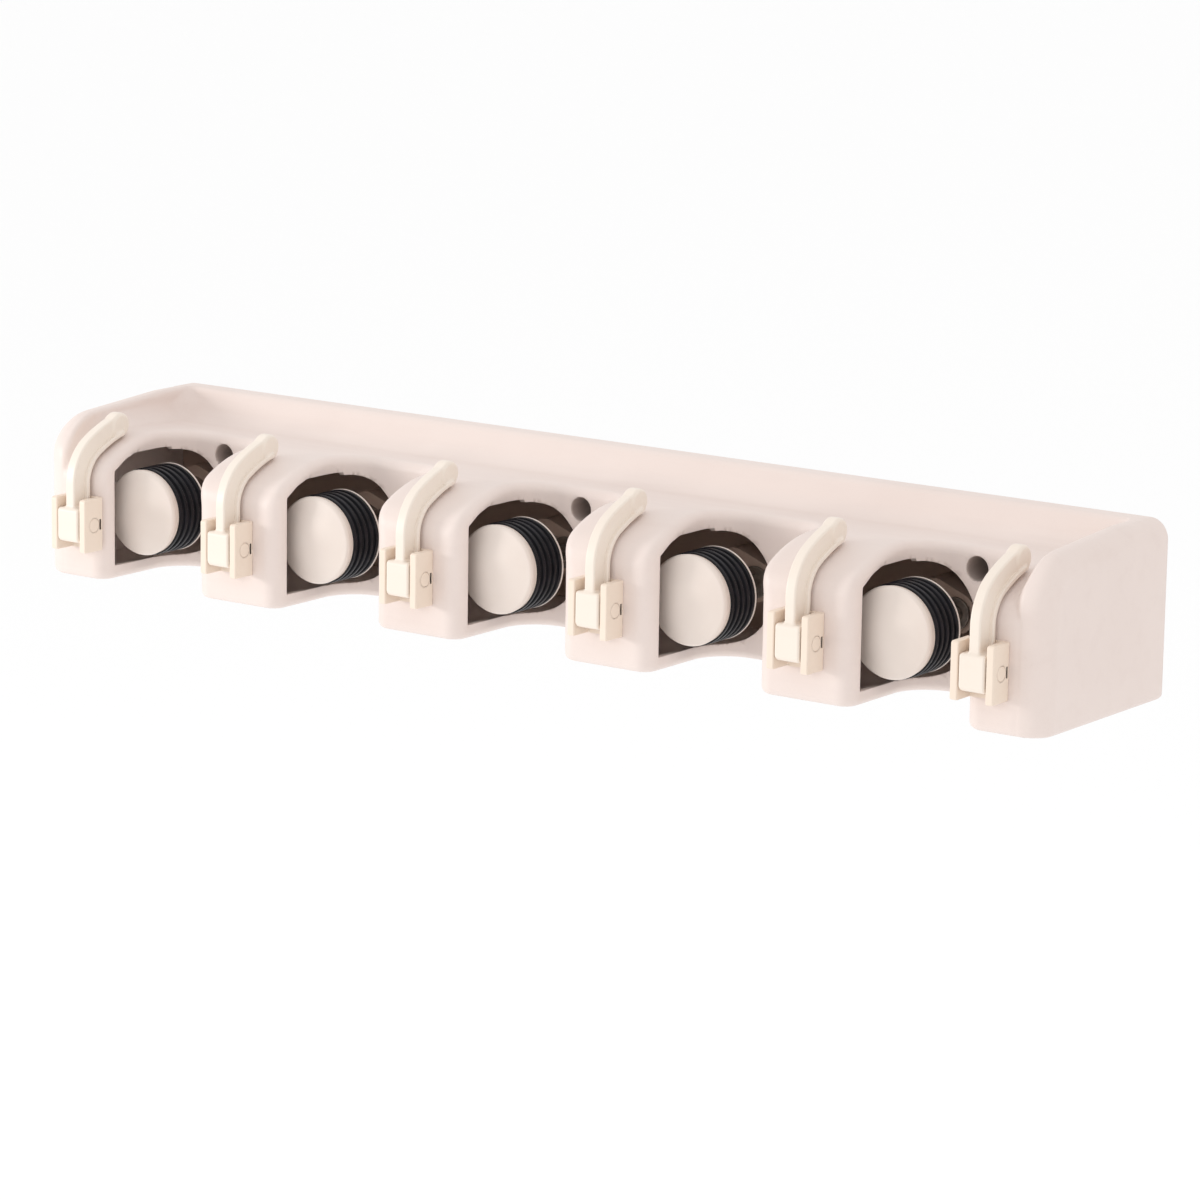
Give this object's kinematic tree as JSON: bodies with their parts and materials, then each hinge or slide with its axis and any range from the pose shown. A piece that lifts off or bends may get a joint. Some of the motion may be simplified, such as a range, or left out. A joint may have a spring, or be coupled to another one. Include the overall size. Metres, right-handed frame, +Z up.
{
  "type": "wall mop holder rack",
  "caption": "Wall-mounted moulded rack that grips tool handles between a sliding ribbed roller and the next pier, with fold-down hooks on the pier fronts",
  "frame": {"origin": "centre of the rear face, on the wall plane, at half the rack's height", "axes": "+X along the rack to the right as seen from the front, +Y into the wall, +Z up"},
  "size_m": [0.416, 0.087, 0.06],
  "materials": {
    "housing_plastic": "fine satin moulding, pale beige",
    "inner_plastic": "plain brown moulding inside the housing",
    "hook_plastic": "satin moulding, cream",
    "cap_plastic": "smooth warm white",
    "rubber": "matt black, ribbed",
    "steel": "zinc-plated"
  },
  "bodies": {
    "rack": {"housing": "housing_plastic", "back_plate": "inner_plastic", "plate_screws": "steel", "hook_bracket_1": "hook_plastic", "hook_bracket_2": "hook_plastic", "hook_bracket_3": "hook_plastic", "hook_bracket_4": "hook_plastic", "hook_bracket_5": "hook_plastic", "hook_bracket_6": "hook_plastic", "hook_pin_1": "hook_plastic", "hook_pin_2": "hook_plastic", "hook_pin_3": "hook_plastic", "hook_pin_4": "hook_plastic", "hook_pin_5": "hook_plastic", "hook_pin_6": "hook_plastic"},
    "folding_hook_1": {"hook_1": "hook_plastic"},
    "folding_hook_2": {"hook_2": "hook_plastic"},
    "folding_hook_3": {"hook_3": "hook_plastic"},
    "folding_hook_4": {"hook_4": "hook_plastic"},
    "folding_hook_5": {"hook_5": "hook_plastic"},
    "folding_hook_6": {"hook_6": "hook_plastic"},
    "carriage_1": {"roller_axle_1": "steel", "axle_clip_1": "steel"},
    "carriage_2": {"roller_axle_2": "steel", "axle_clip_2": "steel"},
    "carriage_3": {"roller_axle_3": "steel", "axle_clip_3": "steel"},
    "carriage_4": {"roller_axle_4": "steel", "axle_clip_4": "steel"},
    "carriage_5": {"roller_axle_5": "steel", "axle_clip_5": "steel"},
    "roller_1": {"roller_hub_1": "cap_plastic", "roller_tyre_1": "rubber", "roller_flange_1": "cap_plastic"},
    "roller_2": {"roller_hub_2": "cap_plastic", "roller_tyre_2": "rubber", "roller_flange_2": "cap_plastic"},
    "roller_3": {"roller_hub_3": "cap_plastic", "roller_tyre_3": "rubber", "roller_flange_3": "cap_plastic"},
    "roller_4": {"roller_hub_4": "cap_plastic", "roller_tyre_4": "rubber", "roller_flange_4": "cap_plastic"},
    "roller_5": {"roller_hub_5": "cap_plastic", "roller_tyre_5": "rubber", "roller_flange_5": "cap_plastic"}
  },
  "joints": [
    {"name": "hook_fold_1", "type": "hinge", "parent": "rack", "child": "folding_hook_1", "pos_m": [-0.1876, -0.0814, -0.00905], "axis": [1, 0, 0], "range_deg": [0, 90]},
    {"name": "hook_fold_2", "type": "hinge", "parent": "rack", "child": "folding_hook_2", "pos_m": [-0.1185, -0.0814, -0.00905], "axis": [1, 0, 0], "range_deg": [0, 90]},
    {"name": "hook_fold_3", "type": "hinge", "parent": "rack", "child": "folding_hook_3", "pos_m": [-0.0395, -0.0814, -0.00905], "axis": [1, 0, 0], "range_deg": [0, 90]},
    {"name": "hook_fold_4", "type": "hinge", "parent": "rack", "child": "folding_hook_4", "pos_m": [0.0395, -0.0814, -0.00905], "axis": [1, 0, 0], "range_deg": [0, 90]},
    {"name": "hook_fold_5", "type": "hinge", "parent": "rack", "child": "folding_hook_5", "pos_m": [0.1185, -0.0814, -0.00905], "axis": [1, 0, 0], "range_deg": [0, 90]},
    {"name": "hook_fold_6", "type": "hinge", "parent": "rack", "child": "folding_hook_6", "pos_m": [0.1876, -0.0814, -0.00905], "axis": [1, 0, 0], "range_deg": [0, 90]},
    {"name": "roller_lift_1", "type": "slide", "parent": "rack", "child": "carriage_1", "axis": [-0.9272, 0, 0.3746], "range_m": [0, 0.0095]},
    {"name": "roller_lift_2", "type": "slide", "parent": "rack", "child": "carriage_2", "axis": [-0.9272, 0, 0.3746], "range_m": [0, 0.0095]},
    {"name": "roller_lift_3", "type": "slide", "parent": "rack", "child": "carriage_3", "axis": [-0.9272, 0, 0.3746], "range_m": [0, 0.0095]},
    {"name": "roller_lift_4", "type": "slide", "parent": "rack", "child": "carriage_4", "axis": [-0.9272, 0, 0.3746], "range_m": [0, 0.0095]},
    {"name": "roller_lift_5", "type": "slide", "parent": "rack", "child": "carriage_5", "axis": [-0.9272, 0, 0.3746], "range_m": [0, 0.0095]},
    {"name": "roller_spin_1", "type": "hinge", "parent": "carriage_1", "child": "roller_1", "pos_m": [-0.1725, -0.055, -0.006], "axis": [0, -1, 0], "continuous": true},
    {"name": "roller_spin_2", "type": "hinge", "parent": "carriage_2", "child": "roller_2", "pos_m": [-0.0935, -0.055, -0.006], "axis": [0, -1, 0], "continuous": true},
    {"name": "roller_spin_3", "type": "hinge", "parent": "carriage_3", "child": "roller_3", "pos_m": [-0.0145, -0.055, -0.006], "axis": [0, -1, 0], "continuous": true},
    {"name": "roller_spin_4", "type": "hinge", "parent": "carriage_4", "child": "roller_4", "pos_m": [0.0645, -0.055, -0.006], "axis": [0, -1, 0], "continuous": true},
    {"name": "roller_spin_5", "type": "hinge", "parent": "carriage_5", "child": "roller_5", "pos_m": [0.1435, -0.055, -0.006], "axis": [0, -1, 0], "continuous": true}
  ]
}
